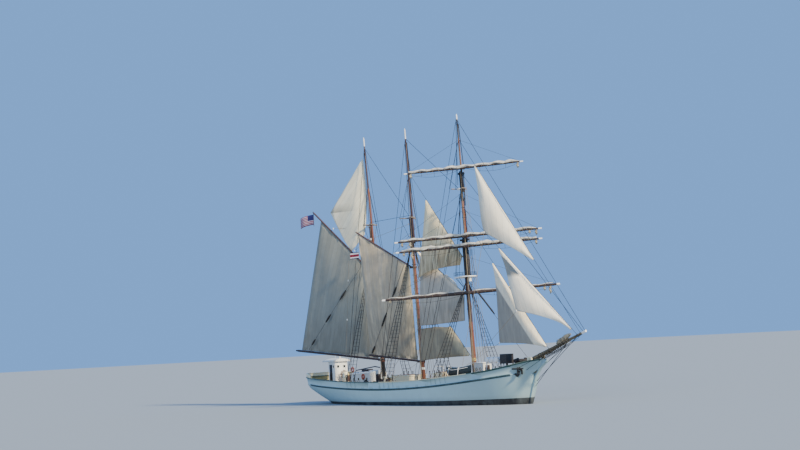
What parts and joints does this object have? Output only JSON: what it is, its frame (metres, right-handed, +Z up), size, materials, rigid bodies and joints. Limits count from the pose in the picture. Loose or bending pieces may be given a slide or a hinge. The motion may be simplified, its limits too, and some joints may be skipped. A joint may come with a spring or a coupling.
{
  "type": "three-masted barquentine tall ship, 1:2 scale model",
  "caption": "Sailing ship with square yards on the fore mast, gaff sails on main and mizzen masts, jibs and staysails set, white hull with a dark stripe.",
  "frame": {"origin": "amidships on the centreline at the waterline", "axes": "+X towards the bow, +Y to port, +Z up"},
  "size_m": [24.6111, 6.9194, 18.7511],
  "materials": {
    "hull_paint": "satin white paint",
    "black_paint": "matt black paint",
    "deck_wood": "scrubbed planks",
    "spar_wood": "oiled and varnished",
    "dark_spar": "dark varnish",
    "white_paint": "gloss white paint",
    "raft_plastic": "white moulded shell",
    "cream_paint": "cream paint",
    "boat_paint": "dark paint with a light band",
    "wire": "galvanised wire, served",
    "pale_canvas": "sunlit cream canvas",
    "grey_canvas": "greyed canvas",
    "bronze": "cast bronze",
    "flag_cloth": "striped bunting"
  },
  "bodies": {
    "ship": {"hull": "hull_paint", "bulwark_port": "hull_paint", "bulwark_starboard": "hull_paint", "keel_and_stem": "black_paint", "anchor_port": "black_paint", "anchor_starboard": "black_paint", "main_deck": "deck_wood", "forecastle_deck": "deck_wood", "bowsprit": "spar_wood", "fore_lower_mast": "spar_wood", "fore_topmast": "spar_wood", "fore_topgallant_mast": "spar_wood", "main_lower_mast": "spar_wood", "main_topmast": "spar_wood", "mizzen_lower_mast": "spar_wood", "mizzen_topmast": "spar_wood", "slatted_locker": "dark_spar", "fore_top": "white_paint", "fore_crosstrees": "white_paint", "main_crosstrees": "white_paint", "mizzen_crosstrees": "white_paint", "wheelhouse": "white_paint", "wheelhouse_roof": "white_paint", "aft_deckhouse": "white_paint", "forward_house": "white_paint", "raft_canisters": "raft_plastic", "taffrail": "cream_paint", "steering_pedestal": "cream_paint", "cargo_hatch": "cream_paint", "scuttle": "cream_paint", "ships_boat": "boat_paint", "forestay": "wire", "inner_jib_stay": "wire", "outer_jib_stay": "wire", "flying_jib_stay": "wire", "main_stay": "wire", "lower_main_stay": "wire", "main_topmast_stay": "wire", "flying_jib": "pale_canvas", "outer_jib": "pale_canvas", "inner_jib": "pale_canvas", "main_topmast_staysail": "pale_canvas", "middle_staysail": "grey_canvas", "lower_staysail": "grey_canvas"},
    "rudder": {"rudder": "black_paint"},
    "steering_wheel": {"steering_wheel": "spar_wood"},
    "propeller": {"propeller": "bronze"},
    "wheelhouse_door": {"wheelhouse_door": "dark_spar"},
    "main_rig": {"main_boom": "dark_spar", "main_gaff": "spar_wood", "main_sail": "grey_canvas"},
    "mizzen_rig": {"mizzen_boom": "dark_spar", "mizzen_gaff": "spar_wood", "mizzen_sail": "grey_canvas", "mizzen_topsail": "pale_canvas", "ensign": "flag_cloth"},
    "course_yard": {"course_yard": "pale_canvas"},
    "lower_topsail_yard": {"lower_topsail_yard": "pale_canvas"},
    "upper_topsail_yard": {"upper_topsail_yard": "pale_canvas"},
    "topgallant_yard": {"topgallant_yard": "pale_canvas"}
  },
  "joints": [
    {"name": "rudder_turn", "type": "hinge", "parent": "ship", "child": "rudder", "pos_m": [-7.975, 0, -1.7], "axis": [0, 0, 1], "range_deg": [-35, 35]},
    {"name": "wheel_turn", "type": "hinge", "parent": "ship", "child": "steering_wheel", "pos_m": [-8.25, 0, 1.725], "axis": [1, 0, 0], "range_deg": [-700, 700]},
    {"name": "propeller_spin", "type": "hinge", "parent": "ship", "child": "propeller", "pos_m": [-7.4, 0, -1.85], "axis": [1, 0, 0], "continuous": true},
    {"name": "door_swing", "type": "hinge", "parent": "ship", "child": "wheelhouse_door", "pos_m": [-9.1993, -0.45, 2], "axis": [0, 0, 1], "range_deg": [-110, 0]},
    {"name": "main_boom_swing", "type": "hinge", "parent": "ship", "child": "main_rig", "pos_m": [0.03554, 0, 2.375], "axis": [-0.0541, 0, 0.9985], "range_deg": [-60, 15]},
    {"name": "mizzen_boom_swing", "type": "hinge", "parent": "ship", "child": "mizzen_rig", "pos_m": [-3.9566, 0, 2.55], "axis": [-0.0767, 0, 0.9971], "range_deg": [-55, 25]},
    {"name": "course_yard_brace", "type": "hinge", "parent": "ship", "child": "course_yard", "pos_m": [4.84169, 0, 5.975], "axis": [-0.0523, 0, 0.9986], "range_deg": [0, 90]},
    {"name": "lower_topsail_yard_brace", "type": "hinge", "parent": "ship", "child": "lower_topsail_yard", "pos_m": [4.91965, 0, 8.5], "axis": [-0.0523, 0, 0.9986], "range_deg": [0, 90]},
    {"name": "upper_topsail_yard_brace", "type": "hinge", "parent": "ship", "child": "upper_topsail_yard", "pos_m": [4.89083, 0, 9.05], "axis": [-0.0523, 0, 0.9986], "range_deg": [0, 90]},
    {"name": "topgallant_yard_brace", "type": "hinge", "parent": "ship", "child": "topgallant_yard", "pos_m": [4.8358, 0, 12.775], "axis": [-0.0523, 0, 0.9986], "range_deg": [0, 90]}
  ],
  "couplings": [
    {"joint": "wheel_turn", "follows": "rudder_turn", "ratio": 20}
  ]
}
